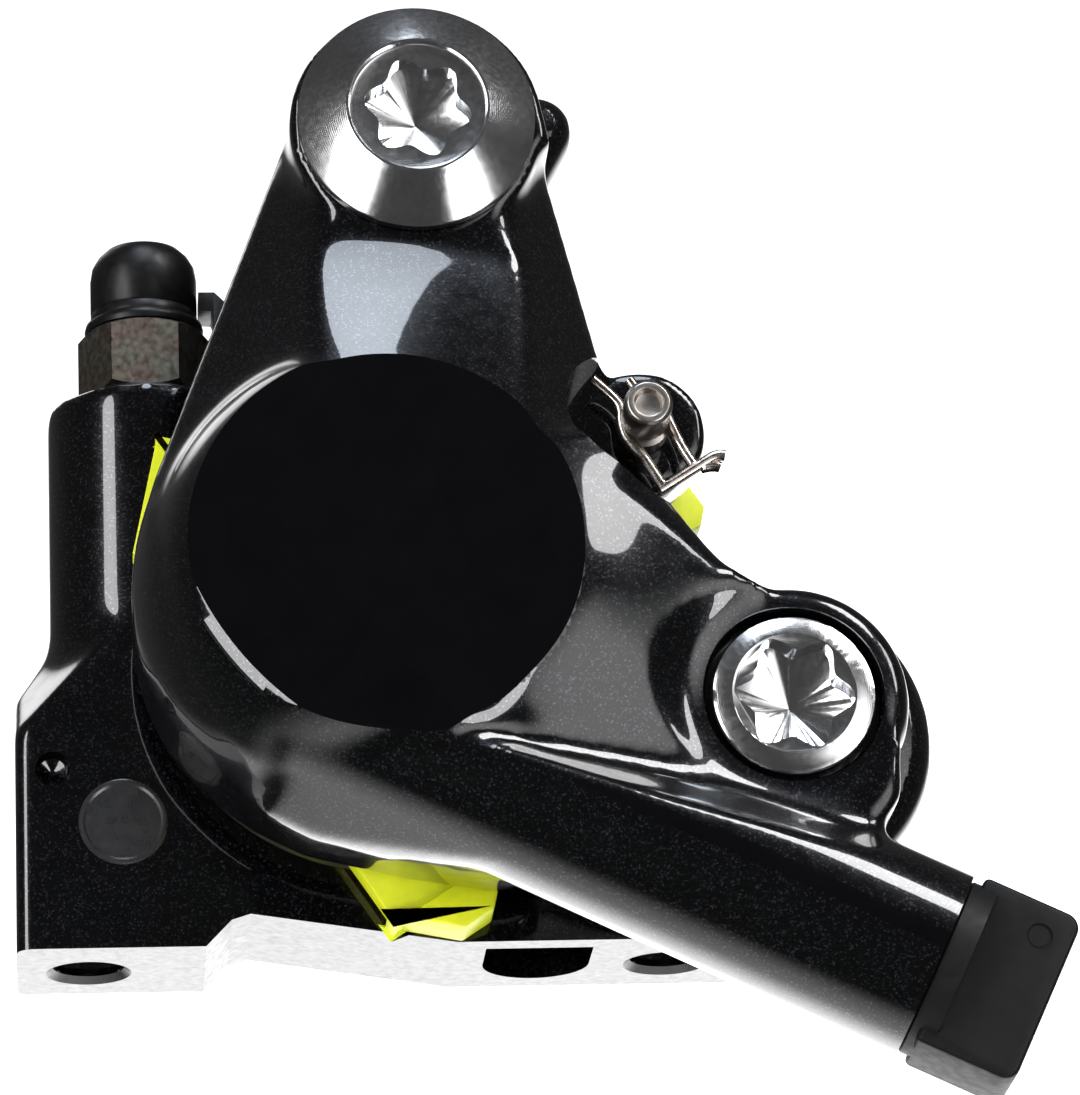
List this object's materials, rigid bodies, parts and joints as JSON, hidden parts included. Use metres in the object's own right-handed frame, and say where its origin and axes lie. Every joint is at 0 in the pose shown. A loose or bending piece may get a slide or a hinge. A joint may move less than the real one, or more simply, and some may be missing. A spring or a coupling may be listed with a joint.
{
  "type": "bicycle disc brake caliper",
  "caption": "Hydraulic bicycle disc brake caliper: bolted halves with opposed pistons, sprung pads, bleed valve, plugged hose port, pad spacer and flat frame feet.",
  "frame": {"origin": "midway between the two tapped frame holes, on the plane of the feet's mount face", "axes": "+X along the row of frame holes towards the hose port, +Y towards the outboard side, +Z away from the frame"},
  "size_m": [0.0593, 0.0335, 0.0662],
  "materials": {
    "body_paint": "gloss black with a fine metallic flake",
    "bolt_steel": "turned, bright",
    "seal_rubber": "smooth",
    "piston_ceramic": "ground",
    "pad_steel": "satin",
    "pad_compound": "coarse, matte",
    "spring_steel": "bright strip",
    "axle_steel": "turned",
    "nipple_metal": "dull grey plating",
    "cap_rubber": "smooth",
    "spacer_plastic": "bright yellow-green, satin",
    "plug_plastic": "fine grain"
  },
  "bodies": {
    "caliper_body": {"inboard_half": "body_paint", "outboard_half": "body_paint", "upper_body_bolt": "bolt_steel", "lower_body_bolt": "bolt_steel", "crossover_o_ring": "seal_rubber", "inboard_piston_seal": "seal_rubber", "outboard_piston_seal": "seal_rubber", "pad_spring": "spring_steel", "pad_axle": "axle_steel", "axle_clip": "spring_steel"},
    "inboard_piston": {"inboard_piston": "piston_ceramic"},
    "outboard_piston": {"outboard_piston": "piston_ceramic"},
    "inboard_pad": {"inboard_pad_plate": "pad_steel", "inboard_pad_lining": "pad_compound"},
    "outboard_pad": {"outboard_pad_plate": "pad_steel", "outboard_pad_lining": "pad_compound"},
    "bleed_nipple": {"bleed_nipple": "nipple_metal", "bleed_cap_strap": "cap_rubber"},
    "bleed_cap": {"bleed_cap": "cap_rubber"},
    "pad_spacer": {"pad_spacer": "spacer_plastic"},
    "port_plug": {"port_plug": "plug_plastic"}
  },
  "joints": [
    {"name": "inboard_piston_slide", "type": "slide", "parent": "caliper_body", "child": "inboard_piston", "axis": [0, 1, 0], "range_m": [0, 0.00045], "stiffness_N_per_m": 500},
    {"name": "outboard_piston_slide", "type": "slide", "parent": "caliper_body", "child": "outboard_piston", "axis": [0, -1, 0], "range_m": [0, 0.00045]},
    {"name": "inboard_pad_slide", "type": "slide", "parent": "caliper_body", "child": "inboard_pad", "axis": [0, 1, 0], "range_m": [0, 0.00045], "deforming": ["pad_spring"]},
    {"name": "outboard_pad_slide", "type": "slide", "parent": "caliper_body", "child": "outboard_pad", "axis": [0, -1, 0], "range_m": [0, 0.00045]},
    {"name": "bleed_nipple_turn", "type": "hinge", "parent": "caliper_body", "child": "bleed_nipple", "pos_m": [-0.01315, 0.0005, 0.036], "axis": [0, 0, 1], "range_deg": [0, 90]},
    {"name": "bleed_cap_lift", "type": "slide", "parent": "bleed_nipple", "child": "bleed_cap", "axis": [0, 0, 1], "range_m": [0, 0.008], "deforming": ["bleed_cap_strap"]},
    {"name": "pad_spacer_pull", "type": "slide", "parent": "caliper_body", "child": "pad_spacer", "axis": [-0.8381, 0, -0.5456], "range_m": [0, 0.045]},
    {"name": "port_plug_pull", "type": "slide", "parent": "caliper_body", "child": "port_plug", "axis": [0.8988, 0, -0.4384], "range_m": [0, 0.04]}
  ],
  "couplings": [
    {"joint": "outboard_piston_slide", "follows": "inboard_piston_slide", "ratio": 1},
    {"joint": "inboard_pad_slide", "follows": "inboard_piston_slide", "ratio": 1},
    {"joint": "outboard_pad_slide", "follows": "inboard_piston_slide", "ratio": 1}
  ]
}
